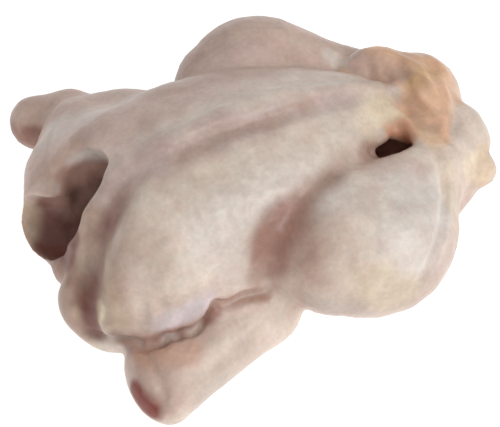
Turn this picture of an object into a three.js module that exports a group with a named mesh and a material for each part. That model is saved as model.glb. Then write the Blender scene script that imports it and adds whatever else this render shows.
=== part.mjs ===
// A whole plucked and dressed chicken, raw from the freezer, lying on its back with the breast up.
// It is one solid: skin and meat round the open body cavity, which runs from the neck to the vent.
// Millimetres, +X from the neck to the tail, +Z up, -Y the side with the folded wing in front.

import * as THREE from 'three';
import { edgeTable, triTable } from 'three/addons/objects/MarchingCubes.js';

// Driving dimensions
const CELL = 5.8; // size of the facets
const WING = 18; // thickness of a wing at the elbow, as a radius
const THIGH = 31; // the thick end of a leg, as a radius
const HOCK = 12; // the thin end of a leg, as a radius
const CAVITY = 26; // the widest place of the body cavity, as a radius
const KEEL = 6; // the skin over the breastbone, as a radius
const SKIN = '#d8c6ba';

// The space that holds the bird
const LOW = [-150, -115, -CELL * 1.5];
const HIGH = [115, 115, 105];
const FAR = 1000;

// Rows of x, y, z and radius on a smooth curve through the given rows.
function spline(rows, steps = 6) {
  const mirrorEnd = (end, next) => end.map((v, i) => 2 * v - next[i]);
  const last = rows.length - 1;
  const all = [mirrorEnd(rows[0], rows[1]), ...rows, mirrorEnd(rows[last], rows[last - 1])];
  const made = [];
  for (let i = 1; i <= last; i++) {
    const [a, b, c, d] = all.slice(i - 1, i + 3);
    for (let s = 0; s < steps; s++) {
      const t = s / steps;
      made.push(
        b.map((v, k) => {
          const bend = 2 * a[k] - 5 * v + 4 * c[k] - d[k];
          const twist = d[k] - 3 * c[k] + 3 * v - a[k];
          return v + 0.5 * ((c[k] - a[k]) * t + bend * t * t + twist * t * t * t);
        }),
      );
    }
  }
  made.push(rows[last]);
  return made;
}

// The trunk leans a little towards the near side at the neck end.
const lean = (x) => -4.5 + 0.0045 * Math.max(-84 - x, 0) ** 2;

// Distance to a ball with its own radius along each axis.
function ball([cx, cy, cz], [rx, ry, rz], trunk = false) {
  return (x, y, z) => {
    const u = (x - cx) / rx;
    const v = (y - cy - (trunk ? lean(x) : 0)) / ry;
    const w = (z - cz) / rz;
    const size = Math.hypot(u, v, w);
    return (size * (size - 1)) / Math.max(Math.hypot(u / rx, v / ry, w / rz), 1e-6);
  };
}

// Distance to a round limb through rows of x, y, z and radius. flatten makes it less tall.
// Where the limb is sure to lie beyond the limit, a short answer above the limit will do.
function limb(rows, trunk = false, flatten = 1) {
  const path = rows.length > 2 ? spline(rows) : rows;
  const ends = path.map(([x, y, z]) => new THREE.Vector3(x, y, z / flatten));
  const around = new THREE.Sphere().setFromPoints(ends);
  around.radius += Math.max(...path.map((row) => row[3]));
  const pieces = path.slice(1).map(([, , , rb], i) => {
    const [a, d] = [ends[i], ends[i + 1].clone().sub(ends[i])];
    return { a, d, square: Math.max(d.lengthSq(), 1e-6), ra: path[i][3], grow: rb - path[i][3] };
  });
  const p = new THREE.Vector3();
  return (x, y, z, limit = FAR) => {
    p.set(x, y - (trunk ? lean(x) : 0), z / flatten);
    const least = (p.distanceTo(around.center) - around.radius) * flatten;
    if (least > limit) return least;
    let best = FAR;
    for (const { a, d, square, ra, grow } of pieces) {
      const px = p.x - a.x;
      const py = p.y - a.y;
      const pz = p.z - a.z;
      const t = Math.min(Math.max((px * d.x + py * d.y + pz * d.z) / square, 0), 1);
      const off = Math.sqrt((px - t * d.x) ** 2 + (py - t * d.y) ** 2 + (pz - t * d.z) ** 2);
      best = Math.min(best, off - ra - t * grow);
    }
    return best * flatten;
  };
}

// The nearer of two distances, with a fillet of about the given size where they meet.
function fused(a, b, fillet) {
  const near = Math.max(fillet - Math.abs(a - b), 0) / fillet;
  return Math.min(a, b) - (near * near * fillet) / 4;
}

// A body that grows shape by shape. at gives the distance to its skin, less than 0 inside.
class Flesh {
  steps = [];
  add(shape, fillet) {
    this.steps.push((d, x, y, z) => fused(d, shape(x, y, z, d + fillet), fillet));
  }
  cut(shape, fillet) {
    this.steps.push((d, x, y, z) => -fused(-d, shape(x, y, z, fillet - d), fillet));
  }
  at = (x, y, z) => this.steps.reduce((d, step) => step(d, x, y, z), FAR);
}

function trunk(bird) {
  // rib cage and back
  bird.add(ball([-21, 0, 39], [92, 46, 42], true), 1);
  // the two breast muscles and what lies between them
  for (const side of [-20, 17]) {
    const rows = [
      [-72, side, 50, 39],
      [-34, side, 51, 40],
      [9, side * 0.75, 52, 32],
      [42, side * 0.35, 53, 19],
      [64, side * 0.1, 56, 9],
    ];
    bird.add(limb(rows, true, 0.92), 7);
  }
  const between = [
    [-79, 0, 57, 21],
    [-54, 0, 67, 23],
    [-18, 0, 70, 22],
    [18, 0, 64, 18],
    [50, 0, 59, 10],
    [67, 0, 57, 6],
  ];
  bird.add(limb(between, true), 12);
  // the shoulders slope down in front of the breast to the neck
  bird.add(limb([[-80, -30, 44, 28], [-108, -33, 25, 24]], true), 12);
  bird.add(limb([[-85, 29, 49, 26], [-101, 37, 42, 21]], true), 12);
  // skin spans from the breast to the far wing
  bird.add(limb([[-86, 48, 46, 20], [-50, 46, 40, 19]]), 12);
  // the skin over the breastbone
  const keel = [
    [-84, 0, 77, KEEL - 1],
    [-61, 0, 87, KEEL],
    [-26, 0, 90, KEEL],
    [18, 0, 82, KEEL],
    [66, 0, 63, KEEL - 2],
  ];
  bird.add(limb(keel, true), 4);
}

function nearLeg() {
  const leg = new Flesh();
  leg.add(limb([[-5, -67, 43, 30], [20, -74, 42, THIGH], [50, -56, 45, 20], [85, -36, 47, HOCK]]), 1);
  const inner = [
    [-24, -52, 50, 20],
    [-8, -54, 51, 23],
    [10, -54, 52, 24],
    [34, -50, 50, 19],
    [54, -46, 50, 15],
  ];
  leg.add(limb(inner), 12);
  leg.add(limb([[0, -46, 34, 28], [34, -38, 28, 28]]), 8);
  // the loose skin behind the drumstick
  leg.add(limb([[88, -33, 40, 16], [74, -46, 34, 16], [24, -65, 20, 16]]), 3);
  return leg.at;
}

function farLeg() {
  const leg = new Flesh();
  leg.add(limb([[-3, 53, 46, 27], [16, 54, 47, THIGH - 1], [46, 41, 45, 18], [77, 26, 42, HOCK - 1]]), 1);
  leg.add(limb([[-4, 40, 38, 26], [25, 36, 30, 30]]), 18);
  return leg.at;
}

function tail(bird) {
  // knobs of the near hock
  bird.add(ball([88, -30, 51], [12, 12, 11]), 5);
  bird.add(ball([90, -39, 47], [10, 10, 10]), 4);
  bird.add(ball([88, -51, 38], [10, 9, 10]), 3);
  // the tail, and the folds of skin that almost close the vent
  bird.add(ball([87, 0, 46], [17, 24, 22]), 7);
  bird.add(limb([[55, 21, 56, 9], [65, 18, 58, 13], [75, 10, 55, 14]]), 4);
  bird.add(limb([[78, 3, 56, 14], [76, -12, 58, 15], [72, -25, 58, 12], [61, -40, 57, 9]]), 3);
  bird.add(limb([[61, 0, 24, 19], [83, 0, 33, 19]]), 9);
  // the skin that closes the underside between the tail and the near leg
  bird.add(limb([[57, -22, 19, 13], [76, -27, 27, 13]]), 9);
}

// Upper arm, forearm and the folded tip: rows of x, y, z and radius.
function wing(bird, shoulder, elbow, wrist, tip) {
  bird.add(limb([shoulder, elbow]), 7);
  bird.add(limb([elbow, wrist]), 4);
  bird.add(limb([wrist, tip]), 3);
}

function cavity(bird) {
  const rows = [
    [-150, 13, 84, 19],
    [-111, 11, 48, 18],
    [-84, 5, 41, 20],
    [-26, 0, 41, CAVITY],
    [34, -2, 40, CAVITY - 2],
    [53, -7, 39, 17],
  ];
  bird.cut(limb(rows, true), 4);
  bird.cut(ball([-96, 14, 66], [14, 13, 15], true), 7);
  // a flap of neck skin hangs into the opening
  bird.add(ball([-113, 28, 45], [10, 12, 10]), 8);
  bird.cut(limb([[-104, 7, 39, 16], [-119, 11, 38, 16], [-134, 14, 43, 15]], true), 2);
  // the breast falls off to the rim of the neck opening in a hollow
  const slope = [
    [-91, -13, 84, 6],
    [-101, -18, 76, 8],
    [-111, -22, 64, 8],
    [-117, -28, 52, 8],
    [-124, -37, 43, 8],
    [-126, -46, 28, 6],
  ];
  bird.cut(limb(slope), 6);
  // the vent
  bird.cut(limb([[49, -5, 42, 16], [46, -20, 49, 18], [47, -35, 57, 11]], false, 0.75), 3);
  bird.cut(limb([[33, -38, 68, 3], [44, -35, 63, 7]]), 3);
  // a fold of skin that hangs from the breast to the leg beside the vent
  bird.add(limb([[52, -14, 65, 5], [57, -24, 64, 5], [58, -34, 63, 5], [60, -44, 62, 4]]), 3);
}

function chicken() {
  const bird = new Flesh();
  trunk(bird);
  bird.add(nearLeg(), 3);
  bird.add(farLeg(), 5);
  tail(bird);
  wing(bird, [-86, -46, 32, 21], [-42, -65, 19, WING], [-96, -79, 17, WING], [-92, -56, 12, 11]);
  bird.add(ball([-104, -77, 16], [14, 24, 16]), 5);
  wing(bird, [-93, 42, 41, 21], [-48, 63, 27, WING - 2], [-99, 86, 33, WING - 4], [-77, 61, 20, 11]);
  // the thick of the far wing, and the web of skin that joins it to the shoulder
  bird.add(ball([-84, 83, 36], [16, 12, 13]), 6);
  bird.add(limb([[-84, 60, 46, 15], [-62, 58, 44, 15]]), 14);
  // the collar of neck skin, and its corner beside the opening
  bird.add(limb([[-93, 4, 33, 28], [-112, 15, 32, 21]], true), 10);
  bird.add(ball([-117, -4, 24], [9, 8, 9]), 8);
  cavity(bird);
  // it rests on the flattened back, wing and legs
  return (x, y, z) => Math.max(bird.at(x, y, z), -z);
}

// Corners of a cell, and the two corners at the ends of each of its edges
const CORNERS = [
  [0, 0, 0], [1, 0, 0], [1, 1, 0], [0, 1, 0],
  [0, 0, 1], [1, 0, 1], [1, 1, 1], [0, 1, 1],
];
const EDGES = [
  [0, 1], [1, 2], [2, 3], [3, 0], [4, 5], [5, 6],
  [6, 7], [7, 4], [0, 4], [1, 5], [2, 6], [3, 7],
];

// Vertices and triangles of the surface where the field is 0, by marching cubes.
function facets(field) {
  const count = LOW.map((low, k) => Math.ceil((HIGH[k] - low) / CELL) + 1);
  const place = (i, k) => LOW[k] + i * CELL;
  const number = (i, j, k) => (i * count[1] + j) * count[2] + k;
  const values = new Float64Array(count[0] * count[1] * count[2]);
  for (let i = 0; i < count[0]; i++)
    for (let j = 0; j < count[1]; j++)
      for (let k = 0; k < count[2]; k++)
        values[number(i, j, k)] = field(place(i, 0), place(j, 1), place(k, 2));

  const vertices = [];
  const triangles = [];
  const known = new Map();
  function crossing(a, b) {
    const key = [number(...a), number(...b)].sort((p, q) => p - q).join();
    if (!known.has(key)) {
      const [va, vb] = [values[number(...a)], values[number(...b)]];
      const t = Math.min(Math.max(va / (va - vb), 0.1), 0.9);
      known.set(key, vertices.length);
      vertices.push(new THREE.Vector3(...a.map((v, k) => place(v + t * (b[k] - v), k))));
    }
    return known.get(key);
  }
  for (let i = 0; i + 1 < count[0]; i++)
    for (let j = 0; j + 1 < count[1]; j++)
      for (let k = 0; k + 1 < count[2]; k++) {
        const corners = CORNERS.map(([x, y, z]) => [i + x, j + y, k + z]);
        const kind = corners.reduce((bits, c, n) => bits | (values[number(...c)] < 0 ? 1 << n : 0), 0);
        if (!edgeTable[kind]) continue;
        for (let n = 16 * kind; triTable[n] >= 0; n += 3) {
          const ends = [0, 2, 1].map((m) => EDGES[triTable[n + m]]);
          triangles.push(ends.map(([a, b]) => crossing(corners[a], corners[b])));
        }
      }
  return { vertices, triangles };
}

// Evens out the facets and lays every vertex on the surface.
function settle(field, { vertices, triangles }, rounds = 8) {
  const around = vertices.map(() => new Set());
  for (const [a, b, c] of triangles) {
    around[a].add(b).add(c);
    around[b].add(a).add(c);
    around[c].add(a).add(b);
  }
  const step = 0.4;
  const slope = (p) =>
    new THREE.Vector3(
      field(p.x + step, p.y, p.z) - field(p.x - step, p.y, p.z),
      field(p.x, p.y + step, p.z) - field(p.x, p.y - step, p.z),
      field(p.x, p.y, p.z + step) - field(p.x, p.y, p.z - step),
    ).divideScalar(2 * step);
  for (let round = 0; round < rounds; round++) {
    const moves = vertices.map((p, i) => {
      const middle = new THREE.Vector3();
      for (const n of around[i]) middle.add(vertices[n]);
      middle.divideScalar(around[i].size).sub(p);
      const normal = slope(p).normalize();
      return middle.addScaledVector(normal, -middle.dot(normal)).multiplyScalar(0.5);
    });
    vertices.forEach((p, i) => {
      p.add(moves[i]);
      const away = slope(p);
      const offset = field(p.x, p.y, p.z) / Math.max(away.lengthSq(), 0.2);
      p.addScaledVector(away, -Math.min(Math.max(offset, -CELL / 2), CELL / 2));
    });
  }
}

// The mesh stands on z = 0 with the middle of its box over the origin.
function skinGeometry() {
  const field = chicken();
  const made = facets(field);
  settle(field, made);
  for (const p of made.vertices) if (p.z < 0.5) p.z = 0;
  const geometry = new THREE.BufferGeometry().setFromPoints(made.vertices);
  geometry.setIndex(made.triangles.flat());
  geometry.computeBoundingBox();
  const middle = geometry.boundingBox.getCenter(new THREE.Vector3());
  geometry.translate(-middle.x, -middle.y, 0);
  geometry.computeVertexNormals();
  return geometry;
}

const skin = new THREE.MeshStandardMaterial({ color: SKIN, roughness: 0.5, metalness: 0 });
const body = new THREE.Mesh(skinGeometry(), skin);
body.name = 'chicken';

const group = new THREE.Group();
group.add(body);

export default group;
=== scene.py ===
"""Looks of the whole raw chicken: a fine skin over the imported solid, with its own colours and moisture.

The flesh is a distance field on a grid, made of the same named limbs and balls as the solid,
with the folds, ridges and wrinkles that the solid leaves out. Millimetres until the mesh is made.
"""
import bpy
import numpy as np
from math import cos, pi, radians, sin
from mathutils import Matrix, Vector


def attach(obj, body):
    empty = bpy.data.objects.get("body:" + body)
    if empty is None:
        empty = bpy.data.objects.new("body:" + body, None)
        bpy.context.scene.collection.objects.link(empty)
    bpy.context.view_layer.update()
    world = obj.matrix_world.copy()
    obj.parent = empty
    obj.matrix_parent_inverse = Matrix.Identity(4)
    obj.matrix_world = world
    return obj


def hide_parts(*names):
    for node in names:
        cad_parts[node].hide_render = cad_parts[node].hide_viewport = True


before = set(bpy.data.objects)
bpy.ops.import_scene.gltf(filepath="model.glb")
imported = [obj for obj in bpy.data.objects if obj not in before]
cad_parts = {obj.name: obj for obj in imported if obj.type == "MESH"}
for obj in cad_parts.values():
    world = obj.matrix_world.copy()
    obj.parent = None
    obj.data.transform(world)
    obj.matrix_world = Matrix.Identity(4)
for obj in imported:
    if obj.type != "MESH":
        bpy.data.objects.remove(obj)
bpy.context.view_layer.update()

MM = 0.001
GRID = 1.4
LOW, HIGH = (-140, -116, -4), (112, 108, 106)
FAR = 60.0
MARGIN = 12     # how far round a shape its distances are worked out
LEAN = 10       # the most by which the trunk leans sideways

# Thicknesses shared with the solid
WING, THIGH, HOCK, CAVITY, KEEL = 18, 31, 12, 26, 6


def lean(x):
    """The trunk leans a little towards the near side at the neck end."""
    return -4.5 + 0.0045 * np.clip(-84 - x, 0, None) ** 2


def spline(rows, steps=6):
    """Rows of x, y, z and radius on a smooth curve through the given rows."""
    p = np.array(rows, float)
    p = np.vstack([2 * p[0] - p[1], p, 2 * p[-1] - p[-2]])
    out = []
    for a, b, c, d in zip(p, p[1:], p[2:], p[3:]):
        for t in np.arange(steps) / steps:
            bend = 2 * a - 5 * b + 4 * c - d
            twist = d - 3 * c + 3 * b - a
            out.append(b + 0.5 * ((c - a) * t + bend * t ** 2 + twist * t ** 3))
    return np.vstack(out + [p[-2]])


class Clay:
    """Distances to the skin on a grid, less than 0 inside. Shapes are added to it and cut from it."""

    def __init__(self):
        self.axes = [np.arange(lo, hi + GRID, GRID, dtype=np.float32) for lo, hi in zip(LOW, HIGH)]
        self.field = np.full([len(a) for a in self.axes], FAR, np.float32)

    def region(self, low, high):
        """The part of the grid between two corners."""
        spans = zip(low, high, self.axes)
        return tuple(slice(max(0, int((lo - a[0]) / GRID)), max(0, int((hi - a[0]) / GRID) + 2))
                     for lo, hi, a in spans)

    def points(self, box, trunk):
        """The grid points of a region. The shapes of the trunk lean with it."""
        x, y, z = np.meshgrid(*[a[part] for a, part in zip(self.axes, box)], indexing="ij", sparse=True)
        return x, (y - lean(x) if trunk else y), z

    def ball(self, centre, radii, trunk=False):
        c, r = np.array(centre, float), np.array(radii, float)
        reach = r + MARGIN + np.array([0, LEAN if trunk else 0, 0])
        box = self.region(c - reach, c + reach)
        x, y, z = self.points(box, trunk)
        u, v, w = (x - c[0]) / r[0], (y - c[1]) / r[1], (z - c[2]) / r[2]
        size = np.sqrt(u * u + v * v + w * w)
        steep = np.sqrt((u / r[0]) ** 2 + (v / r[1]) ** 2 + (w / r[2]) ** 2)
        return box, size * (size - 1) / np.maximum(steep, 1e-6)

    def limb(self, rows, trunk=False, flatten=1.0, curved=True):
        """A round bar through the rows of x, y, z and radius, flattened in z by the given factor."""
        path = spline(rows) if curved and len(rows) > 2 else np.array(rows, float)
        margin = MARGIN + np.array([0, LEAN if trunk else 0, 0])
        reach = path[:, 3].max() + margin
        box = self.region(path[:, :3].min(0) - reach, path[:, :3].max(0) + reach)
        shape = [len(a[part]) for a, part in zip(self.axes, box)]
        best = np.full(shape, FAR, np.float32)
        for a, b, ra, rb in zip(path[:, :3], path[1:, :3], path[:, 3], path[1:, 3]):
            wide = max(ra, rb) + margin
            part = self.region(np.minimum(a, b) - wide, np.maximum(a, b) + wide)
            x, y, z = self.points(part, trunk)
            px, py, pz = x - a[0], y - a[1], (z - a[2]) / flatten
            d = np.array([b[0] - a[0], b[1] - a[1], (b[2] - a[2]) / flatten])
            t = np.clip((px * d[0] + py * d[1] + pz * d[2]) / max(float(d @ d), 1e-6), 0, 1)
            off = np.sqrt((px - t * d[0]) ** 2 + (py - t * d[1]) ** 2 + (pz - t * d[2]) ** 2)
            inner = tuple(slice(p.start - q.start, p.start - q.start + n)
                          for p, q, n in zip(part, box, off.shape))
            best[inner] = np.minimum(best[inner], (off - ra - t * (rb - ra)) * flatten)
        return box, best

    def add(self, shape, fillet):
        box, d = shape
        self.field[box] = fused(self.field[box], d, fillet)

    def cut(self, shape, fillet):
        box, d = shape
        self.field[box] = -fused(-self.field[box], d, fillet)


def fused(a, b, fillet):
    """The nearer of two distances, with a fillet of about the given size where they meet."""
    near = np.maximum(fillet - np.abs(a - b), 0) / fillet
    return np.minimum(a, b) - near * near * fillet / 4


def sample(field, points):
    """The field between its grid points."""
    q = (points - np.array(LOW)) / GRID
    low = np.clip(np.floor(q).astype(int), 0, np.array(field.shape) - 2)
    t = q - low
    value = 0
    for corner in np.ndindex(2, 2, 2):
        share = np.prod(np.where(corner, t, 1 - t), axis=1)
        value = value + share * field[tuple((low + corner).T)]
    return value


def slope(field, points):
    """The direction in which the field grows fastest, with its steepness."""
    steps = np.eye(3) * GRID * 0.6
    rise = [sample(field, points + s) - sample(field, points - s) for s in steps]
    return np.stack(rise, -1) / (GRID * 1.2)


# The bird, shape by shape, as in the solid

def trunk(bird):
    bird.add(bird.ball((-21, 0, 39), (92, 46, 42), True), 1)
    for side in (-20, 17):
        muscle = [(-72, side, 50, 39), (-34, side, 51, 40), (9, side * 0.75, 52, 32),
                  (42, side * 0.35, 53, 19), (64, side * 0.1, 56, 9)]
        bird.add(bird.limb(muscle, True, 0.92), 7)
    between = [(-79, 0, 57, 21), (-54, 0, 67, 23), (-18, 0, 70, 22),
               (18, 0, 64, 18), (50, 0, 59, 10), (67, 0, 57, 6)]
    bird.add(bird.limb(between, True), 12)
    bird.add(bird.limb([(-80, -30, 44, 28), (-108, -33, 25, 24)], True), 12)
    bird.add(bird.limb([(-85, 29, 49, 26), (-101, 37, 42, 21)], True), 12)
    bird.add(bird.limb([(-86, 48, 46, 20), (-50, 46, 40, 19)]), 12)
    keel = [(-84, 0, 77, KEEL - 1), (-61, 0, 87, KEEL), (-26, 0, 90, KEEL),
            (18, 0, 82, KEEL), (66, 0, 63, KEEL - 2)]
    bird.add(bird.limb(keel, True), 4)


def near_leg(bird):
    leg = Clay()
    outer = [(-5, -67, 43, 30), (20, -74, 42, THIGH), (50, -56, 45, 20), (85, -36, 47, HOCK)]
    leg.add(leg.limb(outer), 1)
    inner = [(-24, -52, 50, 20), (-8, -54, 51, 23), (10, -54, 52, 24), (34, -50, 50, 19), (54, -46, 50, 15)]
    leg.add(leg.limb(inner), 12)
    leg.add(leg.limb([(0, -46, 34, 28), (34, -38, 28, 28)]), 8)
    leg.add(leg.limb([(88, -33, 40, 16), (74, -46, 34, 16), (24, -65, 20, 16)]), 3)
    bird.field = fused(bird.field, leg.field, 3)


def far_leg(bird):
    leg = Clay()
    outer = [(-3, 53, 46, 27), (16, 54, 47, THIGH - 1), (46, 41, 45, 18), (77, 26, 42, HOCK - 1)]
    leg.add(leg.limb(outer), 1)
    leg.add(leg.limb([(-4, 40, 38, 26), (25, 36, 30, 30)]), 18)
    bird.field = fused(bird.field, leg.field, 5)


def tail(bird):
    bird.add(bird.ball((88, -30, 51), (12, 12, 11)), 5)
    bird.add(bird.ball((90, -39, 47), (10, 10, 10)), 4)
    bird.add(bird.ball((88, -51, 38), (10, 9, 10)), 3)
    bird.add(bird.ball((87, 0, 46), (17, 24, 22)), 7)
    bird.add(bird.limb([(55, 21, 56, 9), (65, 18, 58, 13), (75, 10, 55, 14)]), 4)
    bird.add(bird.limb([(78, 3, 56, 14), (76, -12, 58, 15), (72, -25, 58, 12), (61, -40, 57, 9)]), 3)
    bird.add(bird.limb([(61, 0, 24, 19), (83, 0, 33, 19)]), 9)
    bird.add(bird.limb([(57, -22, 19, 13), (76, -27, 27, 13)]), 9)


def wing(bird, shoulder, elbow, wrist, tip):
    bird.add(bird.limb([shoulder, elbow]), 7)
    bird.add(bird.limb([elbow, wrist]), 4)
    bird.add(bird.limb([wrist, tip]), 3)


def cavity(bird):
    hollow = [(-150, 13, 84, 19), (-111, 11, 48, 18), (-84, 5, 41, 20),
              (-26, 0, 41, CAVITY), (34, -2, 40, CAVITY - 2), (53, -7, 39, 17)]
    bird.cut(bird.limb(hollow, True), 4)
    bird.cut(bird.ball((-96, 14, 65), (13, 12, 13), True), 14)
    bird.add(bird.ball((-113, 28, 45), (10, 12, 10)), 8)
    bird.cut(bird.limb([(-104, 7, 39, 16), (-119, 11, 38, 16), (-134, 14, 43, 15)], True), 2)
    hollow_side = [(-92, -13, 86, 6), (-102, -18, 78, 7.5), (-112.5, -22, 65.5, 8),
                   (-119, -28.5, 53, 8), (-125.5, -37.5, 43.5, 8), (-127.5, -46, 29, 6)]
    bird.cut(bird.limb(hollow_side), 13)
    bird.cut(bird.limb([(49, -5, 42, 16), (46, -20, 49, 18), (47, -35, 57, 11)], flatten=0.75), 3)
    bird.cut(bird.limb([(33, -38, 68, 3), (44, -35, 63, 7)]), 3)
    bird.add(bird.limb([(52, -14, 65, 5), (57, -24, 64, 5), (58, -34, 63, 5), (60, -44, 62, 4)]), 3)


def on_skin(bird, rows):
    """A smooth line through the rows of x, y and z, laid on the skin, with the way out of the skin."""
    line = spline([(*row, 0) for row in rows])[:, :3]
    for _ in range(4):
        way = slope(bird.field, line)
        steep = np.linalg.norm(way, axis=1, keepdims=True)
        out = way / np.maximum(steep, 1e-6)
        line = line - out * np.clip(sample(bird.field, line)[:, None] / np.maximum(steep, 0.5), -4, 4)
    return line, out


def taper(count):
    """0 at both ends of a line and 1 over most of it."""
    return np.sin(np.linspace(0.15, pi - 0.15, count)) ** 0.5


def groove(bird, rows, radius, depth, fillet=3):
    line, out = on_skin(bird, rows)
    centres = line + out * (radius - depth * taper(len(line)))[:, None]
    bird.cut(bird.limb(np.c_[centres, np.full(len(line), radius)], curved=False), fillet)


def ridge(bird, rows, radius, height, fillet=3):
    line, out = on_skin(bird, rows)
    centres = line - out * (radius - height * taper(len(line)))[:, None]
    bird.add(bird.limb(np.c_[centres, np.full(len(line), radius)], curved=False), fillet)


def folds(bird):
    # the breast skin ends in an edge that hangs over the near wing
    edge = [(-117, -52, 35), (-112, -56, 36), (-105, -63, 37), (-100, -65, 37), (-95, -66, 40),
            (-90, -67, 39), (-85, -67, 38), (-79, -67, 41), (-73, -67, 46), (-69, -67, 48),
            (-63, -67, 45), (-54, -66, 45), (-47, -66, 43)]
    ridge(bird, edge, 5, 2.4, 4)
    under = [(-124, -42, 22), (-119, -52, 27), (-113, -58, 30), (-105, -65, 31), (-100, -68, 31),
             (-95, -69, 35), (-90, -69, 34), (-85, -69, 33), (-79, -69, 36), (-74, -69, 40),
             (-69, -68, 44), (-63, -68, 41), (-54, -68, 41), (-42, -69, 38)]
    groove(bird, under, 2.4, 3.6, 1.5)
    # slack wrinkles run down to that edge
    groove(bird, [(-100, -56, 54), (-102, -60, 47), (-103, -64, 40)], 3, 1.4, 3)
    groove(bird, [(-92, -58, 56), (-93, -63, 49), (-95, -66, 43)], 3, 1.2, 3)
    groove(bird, [(-66, -60, 60), (-68, -64, 54), (-69, -67, 48)], 3, 1.2, 3)
    # the rim of the neck opening stands up as a narrow ridge
    rim = [(-84, -4, 84), (-93, -2, 79), (-99, -5, 70), (-106, -8, 59), (-114, -10, 45), (-120, -14, 36)]
    ridge(bird, rim, 4, 2, 4)
    # a fold of skin hangs over the vent
    bird.add(bird.limb([(38, -31, 66, 3), (48, -25, 62, 5), (57, -29, 59, 5)]), 3)
    # the near side of the breastbone
    keel = [(-60, -14, 89), (-43, -13, 90), (-29, -14, 90), (-7, -15, 89), (23, -11, 83), (48, -9, 74)]
    groove(bird, keel, 3, 0.9, 4)
    # the edge of the loose skin on the near leg
    groove(bird, [(59, -46, 63), (56, -59, 63), (52, -70, 62), (43, -84, 63), (34, -94, 62), (24, -102, 57),
                  (15, -107, 49)], 2.5, 2, 2)
    # the skin of the tail lies in gathered folds
    gathers = [
        [(61, 18, 70), (59, 12, 68), (57, 6, 68)], [(65, 12, 70), (65, 6, 67), (61, -4, 71)],
        [(72, 7, 69), (69, -4, 70), (66, -13, 69)],
        [(61, -13, 67), (62, -22, 65), (63, -34, 66), (63, -39, 65)],
        [(67, -11, 70), (67, -23, 69), (69, -34, 67)], [(73, -11, 73), (74, -22, 71), (77, -30, 68)],
        [(88, 1, 68), (83, -11, 71), (82, -21, 70)],
    ]
    for line in gathers:
        groove(bird, line, 3, 1.6, 4)
    # the folded tip of the near wing
    groove(bird, [(-106, -68, 32), (-106, -79, 33), (-106, -89, 30), (-109, -94, 23)], 2.5, 2, 2)


def chicken():
    bird = Clay()
    trunk(bird)
    near_leg(bird)
    far_leg(bird)
    tail(bird)
    wing(bird, (-86, -46, 32, 21), (-42, -65, 19, WING), (-96, -79, 17, WING), (-92, -56, 12, 11))
    bird.add(bird.ball((-104, -77, 16), (14, 24, 16)), 5)
    wing(bird, (-93, 42, 41, 21), (-48, 63, 27, WING - 2), (-99, 86, 33, WING - 4), (-77, 61, 20, 11))
    bird.add(bird.ball((-84, 83, 36), (16, 12, 13)), 6)
    bird.add(bird.limb([(-84, 60, 46, 15), (-62, 58, 44, 15)]), 14)
    bird.add(bird.limb([(-93, 4, 33, 28), (-112, 15, 32, 21)], True), 10)
    bird.add(bird.ball((-117, -4, 24), (9, 8, 9)), 8)
    bird.whole = bird.field.copy()  # before the cavity is cut
    cavity(bird)
    folds(bird)
    bird.field = np.maximum(bird.field, -bird.axes[2][None, None, :])
    return bird


# From the field to a mesh

def surface_nets(bird):
    """One vertex for each grid cell that the skin crosses, and one quad for each crossed grid edge."""
    F = bird.field
    inside = F < 0
    cells = np.zeros(np.array(F.shape) - 1, np.int8)
    for corner in np.ndindex(2, 2, 2):
        cells += inside[tuple(slice(c, c + n) for c, n in zip(corner, cells.shape))]
    active = (cells > 0) & (cells < 8)
    index = np.full(active.shape, -1, np.int64)
    where = np.argwhere(active)
    index[active] = np.arange(len(where))
    total, count = np.zeros((len(where), 3)), np.zeros(len(where))
    quads = []
    for axis in range(3):
        step = np.eye(3, dtype=int)[axis]
        b, c = np.eye(3, dtype=int)[[(axis + 1) % 3, (axis + 2) % 3]]
        for corner in (0 * b, b, c, b + c):
            p = where + corner
            v0, v1 = F[tuple(p.T)], F[tuple((p + step).T)]
            cross = (v0 < 0) != (v1 < 0)
            t = np.where(cross, v0 / np.where(cross, v0 - v1, 1), 0)
            total += np.where(cross[:, None], p + t[:, None] * step, 0)
            count += cross
        span = tuple(slice(1, n - 1) if k != axis else slice(0, n - 1) for k, n in enumerate(F.shape))
        ahead = tuple(slice(1, n - 1) if k != axis else slice(1, n) for k, n in enumerate(F.shape))
        cross = np.argwhere(inside[span] != inside[ahead]) + [0 if k == axis else 1 for k in range(3)]
        four = np.stack([index[tuple((cross - off).T)] for off in (0 * b, b, b + c, c)], -1)
        starts_inside = inside[tuple(cross.T)]
        quads.append(np.where(starts_inside[:, None], four[:, ::-1], four))
    place = total / count[:, None] * GRID + np.array(LOW)
    return place, np.vstack(quads)


def settle(field, place, quads, rounds=4):
    """Evens out the quads and lays every vertex on the skin."""
    a = quads.ravel()
    b = np.roll(quads, -1, axis=1).ravel()
    count = np.bincount(np.r_[a, b], minlength=len(place))
    for _ in range(rounds):
        middle = np.stack([np.bincount(np.r_[a, b], np.r_[place[b, k], place[a, k]], len(place))
                           for k in range(3)], -1) / count[:, None]
        way = slope(field, place)
        steep = np.linalg.norm(way, axis=1, keepdims=True)
        unit = way / np.maximum(steep, 1e-6)
        move = middle - place
        move -= unit * (move * unit).sum(1, keepdims=True)
        place = place + 0.5 * move
        drop = sample(field, place)[:, None] / np.maximum(steep, 0.3)
        place = place - unit * np.clip(drop, -GRID, GRID)
    return place


# Relief of the skin, in millimetres

TAIL_FOLDS = [(60, 15, 63), (66, 12, 66), (78, 3, 66), (79, -11, 67), (72, -22, 66), (63, -34, 63)]
SINK = 0.45  # keeps the relief inside the box of the solid


def lattice(seed, size=32):
    return np.random.default_rng(seed).random((size, size, size)).astype(np.float32)


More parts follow.
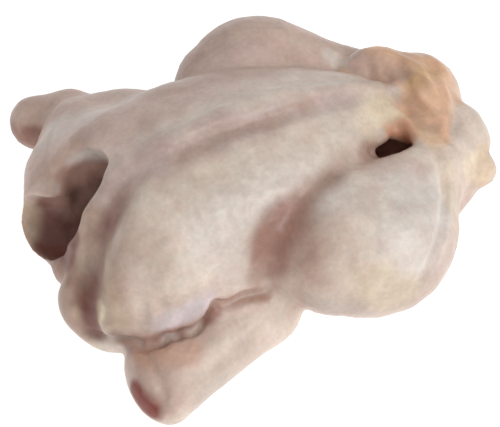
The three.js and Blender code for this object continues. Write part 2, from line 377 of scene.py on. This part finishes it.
def noise(points, scale, seed):
    """Soft random values from -1 to 1 that change over about the given lengths."""
    grid = lattice(seed)
    q = points / np.asarray(scale, float) + 100.0
    low = np.floor(q).astype(int)
    t = q - low
    t = t * t * (3 - 2 * t)
    value = 0
    for corner in np.ndindex(2, 2, 2):
        share = np.prod(np.where(corner, t, 1 - t), axis=1)
        value = value + share * grid[tuple(((low + corner) % len(grid)).T)]
    return 2 * value - 1


def dots(points, spacing, seed):
    """Distance to the nearest of the scattered feather follicles."""
    q = points / spacing + 100.0
    low = np.floor(q).astype(int)
    shift = [lattice(seed + k) for k in range(3)]
    best = np.full(len(points), 9.0)
    for corner in np.ndindex(3, 3, 3):
        cell = low + np.array(corner) - 1
        key = tuple((cell % 32).T)
        centre = cell + 0.15 + 0.7 * np.stack([s[key] for s in shift], -1)
        best = np.minimum(best, np.linalg.norm(q - centre, axis=1))
    return best * spacing


def near(points, rows, radius, soft):
    """1 within the radius of the smooth line through the rows of x, y and z, falling softly to 0."""
    line = spline([(*row, 0) for row in rows])[:, :3] if len(rows) > 2 else np.array(rows, float)
    if len(line) == 1:
        away = np.linalg.norm(points - line[0], axis=1)
    else:
        away = np.full(len(points), 1e3)
        for a, b in zip(line, line[1:]):
            d = b - a
            t = np.clip((points - a) @ d / (d @ d), 0, 1)
            away = np.minimum(away, np.linalg.norm(points - a - t[:, None] * d, axis=1))
    return smooth(radius + soft - away, soft)


def smooth(value, width):
    """0 below 0, 1 above the width, and a soft step between."""
    t = np.clip(value / width, 0, 1)
    return t * t * (3 - 2 * t)


def turned(points, degrees):
    """The points as seen along axes turned about the vertical."""
    a = radians(degrees)
    x, y, z = points.T
    return np.stack([x * cos(a) + y * sin(a), y * cos(a) - x * sin(a), z], -1)


def relief(points, inside):
    """How far the skin stands out: lumps, slack wrinkles and feather follicles."""
    skin = 1 - inside
    lumps = 0.5 * noise(points, 24, 1) + 0.3 * noise(points, 11, 2)
    breast = near(points, [(-95, -30, 60), (-40, -45, 60), (30, -25, 70)], 22, 22)
    slack = 0.22 * noise(turned(points, -25), (22, 3.2, 6), 3) * breast
    front = near(points, [(-108, -30, 60), (-112, -50, 38), (-92, -62, 45), (-60, -62, 50)], 14, 16)
    slack += 0.45 * noise(turned(points, 35), (20, 3.6, 14), 4) * front
    vent = near(points, TAIL_FOLDS, 16, 10)
    slack += 0.6 * noise(turned(points, 20), (4.2, 16, 12), 5) * vent
    slack += 0.25 * noise(points, 5.5, 6) * vent
    legs = near(points, [(75, -45, 50), (60, -75, 45), (30, -98, 40)], 10, 12)
    slack += 0.3 * noise(turned(points, -60), (20, 4, 8), 7) * legs
    fine = 0.12 * noise(points, 3.6, 8)
    follicles = 0.28 * np.exp(-(dots(points, 5.2, 20) / 1.1) ** 2) * (1 - vent)
    return (lumps + slack + fine + follicles) * skin + 0.8 * noise(points, (6, 9, 6), 9) * inside


def lifted(bird, place):
    """The mesh points moved out by the relief, but not on the flat underside, and which line the cavity."""
    way = slope(bird.field, place)
    out = way / np.maximum(np.linalg.norm(way, axis=1, keepdims=True), 1e-6)
    inside = smooth(-sample(bird.whole, place) - 2, 5)
    free = smooth(place[:, 2] - 0.5, 5)
    return place + out * ((relief(place, inside) - SINK) * free)[:, None], inside


# Colours of the skin, linear

CREAM = (0.72, 0.62, 0.53)
PALE = (0.74, 0.68, 0.62)
PINK = (0.60, 0.44, 0.37)
LILAC = (0.52, 0.40, 0.37)
ROSE = (0.70, 0.56, 0.49)
HIGHLIGHT_LILAC = (0.70, 0.62, 0.63)
YOLKY = (0.68, 0.57, 0.45)
OLIVE = (0.52, 0.40, 0.28)
BROWN = (0.40, 0.25, 0.19)
MEAT_AND_SHADE = (0.32, 0.16, 0.12)
SHADE_UMBER = (0.25, 0.15, 0.12)
TAN = (0.76, 0.48, 0.31)
YELLOW = (0.66, 0.43, 0.20)
FAT = (0.72, 0.58, 0.40)
BUTTER = (0.88, 0.76, 0.54)
SHADE_GREY = (0.48, 0.40, 0.34)
RED = (0.23, 0.03, 0.015)
ORANGE = (0.60, 0.29, 0.17)
HOLLOW = (0.50, 0.31, 0.25)
MAROON = (0.20, 0.07, 0.05)
LIT_INSIDE = (0.82, 0.52, 0.42)


def colours(points, inside):
    """The skin's colour at each point: cream, with zones that fade into each other."""
    wander = points + 5 * np.stack([noise(points, 17, 30 + k) for k in range(3)], -1)
    blotch = noise(points, 13, 40)
    small = noise(points, 5, 41)
    tint = np.tile(CREAM, (len(points), 1))

    def paint(mask, colour, share=1.0):
        amount = (np.clip(mask * share, 0, 1))[:, None]
        tint[:] = tint * (1 - amount) + np.array(colour) * amount

    def on(rows, radius, soft):
        return near(points, rows, radius, soft)

    def about(rows, radius, soft):
        """The same with a wandering edge."""
        return near(wander, rows, radius, soft)

    # skin over muscle is pale, and lilac where it lies thin over the breastbone; on the near leg the pale
    # patch is also a painted highlight
    paint(about([(28, -84, 58), (36, -74, 60)], 12, 24), PALE)
    paint(about([(-50, -50, 62), (-15, -45, 70)], 14, 24), PALE, 0.7)
    # the far side, turned away from the light, is painted pinker and darker: painted shade
    paint(smooth(wander[:, 1] - 2, 26), PINK, 0.85)
    paint(about([(-95, -8, 82), (-50, -12, 91), (0, -14, 89), (35, -11, 81)], 3, 11), LILAC, 0.8)
    paint(about([(-62, -11, 90), (-28, -12, 91), (10, -11, 86)], 1.5, 6), BROWN, 0.5)
    paint(about([(-92, 2, 80), (-72, 4, 88)], 8, 18), LILAC, 0.4)
    paint(about([(-60, -24, 87), (-36, -28, 89), (0, -30, 85)], 5, 16), YOLKY, 0.3)
    paint(about([(-106, 38, 56), (-92, 34, 72), (-84, 24, 78)], 10, 16), ROSE)
    # a painted highlight on the far shoulder, and painted shade where the far wing joins it
    paint(on([(-102, 46, 60), (-97, 48, 66), (-90, 46, 70), (-83, 39, 76)], 5, 8), PALE, 0.9)
    paint(on([(-102, 67, 52), (-97, 66, 58)], 4, 8), BROWN, 0.4)
    paint(on([(-12, 53, 73), (0, 47, 75), (14, 41, 75)], 4, 8), LILAC, 0.4)
    paint(about([(-88, 42, 72), (-60, 32, 80), (-30, 26, 84)], 10, 20), ROSE, 0.6)
    # painted shade where the far breast dips to the far leg
    paint(about([(-48, 38, 78), (-34, 34, 80), (-18, 29, 81)], 3, 15), BROWN, 0.38)
    paint(about([(-80, 28, 82), (-70, 18, 86)], 6, 12), BROWN, 0.2)
    paint(about([(0, -22, 84), (45, -18, 72), (57, -14, 68)], 3, 12), CREAM, 0.8)
    # the front of the breast and the shoulders
    paint(about([(-98, -58, 46), (-75, -66, 48), (-55, -66, 46)], 6, 18), PINK, 0.4)
    # a painted highlight along the rim of the breast-skin edge
    paint(on([(-93, -65, 38), (-84, -67, 42), (-74, -67, 46)], 3, 8), HIGHLIGHT_LILAC, 0.9)
    # brown and olive on the front slope: partly the skin's own colour, partly painted shade where the slope
    # turns away from the light
    paint(about([(-92, -36, 70), (-103, -34, 67), (-109, -42, 56), (-114, -45, 48)], 7, 15), BROWN, 0.42)
    paint(about([(-78, -20, 72), (-85, -20, 71), (-90, -24, 70)], 6, 10), BROWN, 0.6)
    paint(about([(-131, -29, 28), (-127, -22, 40), (-125, -40, 24)], 8, 6), BROWN, 0.6)
    paint(on([(-126, -37, 26), (-127, -31, 33), (-126, -22, 37)], 5, 6), BROWN, 0.4)
    paint(on([(-104, -23, 61), (-106, -32, 61), (-108, -38, 59), (-111, -43, 53)], 4, 9), BROWN, 0.6)
    paint(on([(-106, -26, 58), (-112, -38, 50), (-114, -46, 46), (-113, -51, 40)], 5, 9), OLIVE, 0.55)
    paint(on([(-111, -22, 50), (-116, -29, 41), (-120, -35, 35)], 4, 6), OLIVE, 0.4)
    # painted shadow in the gap where the breast-skin edge meets the near wing
    paint(on([(-114, -57, 31), (-110, -60, 31), (-105, -64, 32), (-99, -67, 32)], 3, 5), SHADE_UMBER, 0.8)
    paint(on([(-115, -57, 30), (-110, -60, 30), (-104, -65, 31)], 1.5, 3), MAROON, 0.7)
    paint(about([(-98, -5, 71), (-110, -9, 52), (-120, -14, 36)], 1.5, 5), BROWN, 0.3)
    paint(on([(-104, -12, 62), (-112, -11, 54), (-116, -14, 47), (-118, -18, 42)], 6, 7), BROWN, 0.7)
    paint(on([(-114, -8, 52), (-117, -9, 48), (-119, -10, 43), (-121, -9, 36)], 3.5, 3), MAROON, 0.85)
    paint(about([(-117, 32, 46), (-113, 40, 56)], 7, 12), BROWN, 0.3)
    # painted shade on the flap beside the upper rim of the neck opening
    paint(about([(-111, 25, 58), (-104, 26, 66), (-96, 24, 74)], 3, 8), BROWN, 0.6)
    # painted shade on the side of the far leg turned away from the light, where it meets the breast
    paint(about([(-14, 70, 60), (-20, 64, 50)], 8, 18), BROWN, 0.45)
    paint(on([(-118, -43, 38), (-122, -37, 31)], 3, 5), BUTTER)
    # meat shows through beside the near leg, and the valley there is darkened further with painted shade
    paint(about([(-34, -64, 64), (-23, -70, 67), (-24, -76, 60)], 3, 25), BROWN, 0.75)
    paint(on([(-31, -55, 70), (-36, -60, 68), (-40, -64, 62),
              (-42, -65, 55), (-45, -66, 49)], 3, 6), BROWN, 0.65)
    paint(on([(-30, -52, 70), (-33, -56, 70), (-36, -60, 67), (-38, -64, 60)], 5, 7), SHADE_UMBER, 0.7)
    paint(on([(-40, -64, 57), (-44, -66, 48)], 3, 6), SHADE_UMBER, 0.45)
    paint(on([(-12, -57, 71), (-18, -62, 70), (-23, -67, 69), (-27, -72, 65)], 4, 6), SHADE_UMBER, 0.35)
    paint(on([(2, -48, 72), (-14, -50, 71), (-26, -55, 70),
              (-36, -61, 68), (-40, -64, 58)], 3, 9), BROWN, 0.8)
    paint(on([(-22, -55, 70), (-32, -61, 69), (-38, -64, 64), (-38, -67, 58)], 4, 10), MEAT_AND_SHADE, 0.75)
    paint(on([(8, -43, 73), (28, -40, 70)], 2, 8), MEAT_AND_SHADE, 0.35)
    paint(about([(-46, -64, 50), (-43, -66, 42)], 4, 9), PINK, 0.25)
    # the near wing, pink along the edge of the breast skin, with a painted shadow line under that edge, and
    # the dark cut at its end
    paint(on([(-98, -86, 12), (-50, -76, 22)], 20, 10), PINK, 0.25)
    paint(about([(-110, -64, 28), (-97, -71, 32), (-83, -70, 35),
                 (-66, -71, 38), (-45, -71, 35)], 4, 12), PINK, 0.25)
    # painted shadow under the overhanging edge of the breast skin
    paint(on([(-112, -60, 28), (-100, -68, 32), (-95, -69, 36), (-88, -69, 36)], 2, 4), MEAT_AND_SHADE, 0.95)
    paint(on([(-88, -69, 36), (-78, -69, 39), (-69, -68, 43),
              (-56, -68, 41), (-45, -69, 38)], 1, 5), BROWN, 0.8)
    paint(on([(-73, -69, 38), (-69, -69, 41)], 2, 4), MEAT_AND_SHADE, 0.85)
    paint(about([(-106, -70, 32), (-107, -82, 31), (-108, -92, 26)], 7, 12), PINK, 0.8)
    paint(on([(-118, -83, 24), (-115, -90, 22)], 5, 6), MEAT_AND_SHADE, 0.4)
    paint(on([(-106, -71, 31), (-97, -77, 35), (-89, -80, 34)], 3, 9), ORANGE, 0.4)
    cut = on([(-118, -82, 22), (-116, -88, 21), (-114, -91, 20)], 3, 6)
    paint(cut * (1.3 + 0.6 * small), RED)
    # painted shade along the lower rims of the near leg and wing, which face down away from the light
    paint(about([(-30, -84, 36), (-10, -100, 34), (20, -106, 36)], 5, 10), PINK, 0.6)
    paint(on([(-27, -88, 39), (-18, -95, 41), (-5, -101, 41),
              (8, -105, 45), (24, -105, 47)], 4, 9), SHADE_GREY, 0.65)
    paint(on([(-62, -86, 21), (-76, -92, 20), (-88, -97, 18)], 4, 9), SHADE_GREY, 0.5)
    paint(about([(15, -41, 71), (29, -48, 71), (45, -58, 67)], 3, 9), PINK, 0.5)
    # the far wing
    paint(about([(-98, 76, 45), (-104, 78, 42)], 4, 12), PINK, 0.6)
    paint(about([(-113, 88, 30), (-110, 76, 24), (-109, 73, 34)], 6, 8), MEAT_AND_SHADE, 0.95)
    # the tail and the folds round the vent
    paint(about(TAIL_FOLDS, 11, 5), TAN, 0.95)
    paint(about([(86, 2, 64), (87, -14, 62)], 9, 8), TAN, 0.7)
    paint(on([(57, 24, 64), (55, 20, 67), (54, 15, 68)], 3, 6), ROSE, 0.8)
    paint(on([(48, 33, 62), (53, 26, 64)], 3, 5), PALE, 0.7)
    paint(on([(38, 2, 79), (47, -1, 76), (54, -3, 74)], 3, 7), BROWN, 0.3)
    paint(about([(60, 15, 68), (66, 6, 70)], 5, 8), PINK, 0.6)
    paint(about([(61, 15, 67), (63, 8, 66)], 3, 7), BROWN, 0.4)
    # painted shade in the fold groove
    paint(on([(62, -12, 66), (64, -22, 66), (62, -32, 66), (68, -37, 66)], 1, 5), BROWN, 0.4)
    paint(about([(80, -4, 72)], 4, 10), YELLOW, 0.6)
    paint(on([(68, -6, 71), (66, -14, 69)], 1, 4), YELLOW, 0.6)
    # painted shade round the rim of the vent
    paint(on([(29, -38, 68), (36, -37, 66), (44, -38, 62), (54, -38, 58)], 4, 7), BROWN, 0.8)
    paint(on([(48, -28, 66), (53, -27, 64), (55, -34, 62)], 3, 5), ORANGE, 0.9)
    # fat
    paint(on([(88, -50, 42), (90, -56, 36)], 7, 8), FAT)
    paint(about([(40, -98, 35), (85, -58, 32)], 16, 14), PINK, 0.7)
    paint(on([(77, -58, 52), (86, -56, 46)], 5, 6), BUTTER, 0.5)
    paint(about([(0, -99, 55), (8, -102, 50)], 6, 12), FAT, 0.5)
    paint(about([(60, -42, 64), (60, -66, 58), (48, -88, 52)], 3, 8), FAT, 0.4)
    paint(about([(50, -18, 70)], 6, 10), FAT, 0.6)
    paint(about([(36, -22, 74), (52, -20, 70)], 4, 8), BUTTER, 0.35)
    # inside
    paint(inside, MAROON)
    paint(inside * on([(-90, 20, 58), (-102, 22, 48)], 11, 12), HOLLOW)
    # the inner wall just under the top of the neck opening is painted pale: painted light
    paint(inside * on([(-100, 24, 73), (-92, 21, 74), (-85, 17, 74)], 5, 7), PALE, 0.95)
    paint(on([(-118, 25, 52), (-112, 24, 53)], 2, 5), PALE, 0.2)
    # the inner wall towards the vent is painted light, standing in for light that reaches into the vent
    paint(inside * smooth(points[:, 0] + 30, 50), LIT_INSIDE)
    paint(on([(-120, 20, 28), (-124, 10, 22), (-121, 0, 24), (-118, -8, 36)], 4, 8), MAROON, 0.8)
    paint(on([(-126, 30, 34), (-129, 27, 26)], 4, 7), OLIVE, 0.7)
    paint(on([(-121, -10, 26), (-122, -10, 20), (-118, -8, 12)], 6, 6), BROWN, 0.8)
    # gathered and slack skin is streaked along its folds
    gathered = noise(turned(points, 20), (3.6, 16, 12), 42) * on(TAIL_FOLDS, 14, 8)
    slack = noise(turned(points, 35), (18, 3, 12), 43) * on([(-104, -24, 62), (-116, -36, 40)], 12, 10)
    tint *= (1 + 0.07 * blotch + 0.05 * small + 0.13 * gathered + 0.1 * slack)[:, None]
    return np.clip(tint, 0.01, 0.9)


def skin_mesh(place, quads, tint):
    """The mesh, moved as the solid is: on z = 0 with the middle of its box over the origin."""
    low, high = place.min(0), place.max(0)
    middle = np.array([(low[0] + high[0]) / 2, (low[1] + high[1]) / 2, 0])
    mesh = bpy.data.meshes.new("chicken_skin")
    mesh.vertices.add(len(place))
    mesh.vertices.foreach_set("co", ((place - middle) * MM).astype(np.float32).ravel())
    mesh.loops.add(quads.size)
    mesh.loops.foreach_set("vertex_index", quads.astype(np.int32).ravel())
    mesh.polygons.add(len(quads))
    mesh.polygons.foreach_set("loop_start", np.arange(0, quads.size, 4, dtype=np.int32))
    mesh.polygons.foreach_set("use_smooth", np.ones(len(quads), bool))
    mesh.update(calc_edges=True)
    colour = mesh.attributes.new("tint", "FLOAT_COLOR", "POINT")
    colour.data.foreach_set("color", np.c_[tint, np.ones(len(tint))].astype(np.float32).ravel())
    mesh.validate()
    return mesh


def skin_material():
    mat = bpy.data.materials.new("raw_skin")
    mat.use_nodes = True
    nodes, links = mat.node_tree.nodes, mat.node_tree.links
    shader = nodes["Principled BSDF"]

    def node(kind, **values):
        made = nodes.new(kind)
        for name, value in values.items():
            if name in made.inputs:
                made.inputs[name].default_value = value
            else:
                setattr(made, name, value)
        return made

    where = node("ShaderNodeTexCoord")
    tint = node("ShaderNodeAttribute", attribute_name="tint")
    grain = node("ShaderNodeTexNoise", Scale=420, Detail=4, Roughness=0.6)
    mottle = node("ShaderNodeTexNoise", Scale=95, Detail=3)
    pores = node("ShaderNodeTexVoronoi", Scale=260)
    for texture in (grain, mottle, pores):
        links.new(where.outputs["Object"], texture.inputs["Vector"])

    def scaled(source, low, high):
        limits = {"From Min": 0.3, "From Max": 0.7, "To Min": low, "To Max": high}
        span = node("ShaderNodeMapRange", **limits)
        links.new(source, span.inputs["Value"])
        return span.outputs["Result"]

    def mixed(a, b, blend, factor):
        mix = node("ShaderNodeMix", data_type="RGBA", blend_type=blend)
        mix.inputs["Factor"].default_value = factor
        links.new(a, mix.inputs["A"])
        links.new(b, mix.inputs["B"])
        return mix.outputs["Result"]

    shade = node("ShaderNodeCombineColor")
    for name, low in (("Red", 0.93), ("Green", 0.87), ("Blue", 0.86)):
        links.new(scaled(mottle.outputs["Fac"], low, 1.07), shade.inputs[name])
    colour = mixed(tint.outputs["Color"], shade.outputs["Color"], "MULTIPLY", 1.0)
    speck = node("ShaderNodeCombineColor")
    for name in ("Red", "Green", "Blue"):
        links.new(scaled(grain.outputs["Fac"], 0.92, 1.06), speck.inputs[name])
    colour = mixed(colour, speck.outputs["Color"], "MULTIPLY", 1.0)
    links.new(colour, shader.inputs["Base Color"])
    links.new(scaled(mottle.outputs["Fac"], 0.36, 0.52), shader.inputs["Roughness"])

    fine = node("ShaderNodeBump", Strength=0.35, Distance=0.0004)
    links.new(grain.outputs["Fac"], fine.inputs["Height"])
    dimples = node("ShaderNodeBump", Strength=0.25, Distance=0.0006)
    links.new(pores.outputs["Distance"], dimples.inputs["Height"])
    links.new(fine.outputs["Normal"], dimples.inputs["Normal"])
    links.new(dimples.outputs["Normal"], shader.inputs["Normal"])
    moist_flesh = {"Subsurface Weight": 0.25, "Subsurface Radius": (1.0, 0.4, 0.25),
                   "Subsurface Scale": 0.003, "Coat Weight": 0.12, "Coat Roughness": 0.3}
    for name, value in moist_flesh.items():
        shader.inputs[name].default_value = value
    return mat


bird = chicken()
place, quads = surface_nets(bird)
place = settle(bird.field, place, quads)
place, inside = lifted(bird, place)
tint = colours(place, inside)
skin = bpy.data.objects.new("chicken_skin", skin_mesh(place, quads, tint))
bpy.context.collection.objects.link(skin)
skin.data.materials.append(skin_material())
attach(skin, "root")
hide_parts("chicken")


# The stage: a glowing pale floor, a white surround and one soft light

FLOOR_HALF, FLOOR_GREY, FLOOR_GLOW, SURROUND = 6, 0.5, 0.82, 0.5


def plane(name, half, grey, glow):
    mesh = bpy.data.meshes.new(name)
    corners = [(-half, -half, 0), (half, -half, 0), (half, half, 0), (-half, half, 0)]
    mesh.from_pydata(corners, [], [(0, 1, 2, 3)])
    obj = bpy.data.objects.new(name, mesh)
    bpy.context.collection.objects.link(obj)
    mat = bpy.data.materials.new(name)
    mat.use_nodes = True
    shader = mat.node_tree.nodes["Principled BSDF"]
    shader.inputs["Base Color"].default_value = (grey, grey, grey, 1)
    shader.inputs["Roughness"].default_value = 0.8
    shader.inputs["Emission Color"].default_value = (1, 1, 1, 1)
    shader.inputs["Emission Strength"].default_value = glow
    mesh.materials.append(mat)
    return obj


floor = plane("floor", FLOOR_HALF, FLOOR_GREY, FLOOR_GLOW)

world = bpy.data.worlds.new("surround")
world.use_nodes = True
background = world.node_tree.nodes["Background"]
background.inputs["Color"].default_value = (1, 1, 1, 1)
background.inputs["Strength"].default_value = SURROUND
bpy.context.scene.world = world


def area_light(name, place, target, size, power):
    light = bpy.data.lights.new(name, "AREA")
    light.shape = "DISK"
    light.size = size
    light.energy = power
    obj = bpy.data.objects.new(name, light)
    obj.location = place
    obj.rotation_euler = (Vector(target) - Vector(place)).to_track_quat("-Z", "Y").to_euler()
    bpy.context.collection.objects.link(obj)


area_light("key", (0.38, -0.78, 0.84), (0, 0, 0.04), 0.7, 5.9)

# The camera of the photograph, in degrees, metres and millimetres of lens
AZIMUTH, ELEVATION, DISTANCE, LENS = -27, 52, 0.616, 87.4
TARGET = Vector((-0.0103, -0.0121, 0.0255))


def camera():
    a, e = radians(AZIMUTH), radians(ELEVATION)
    back = Vector((sin(a) * cos(e), -cos(a) * cos(e), sin(e)))
    data = bpy.data.cameras.new("camera")
    data.lens = LENS
    data.sensor_width = 36
    data.clip_start = 0.01
    obj = bpy.data.objects.new("camera", data)
    obj.location = TARGET + DISTANCE * back
    obj.rotation_euler = (-back).to_track_quat("-Z", "Y").to_euler()
    bpy.context.collection.objects.link(obj)
    bpy.context.scene.camera = obj


camera()
bpy.context.scene.view_settings.view_transform = "Standard"
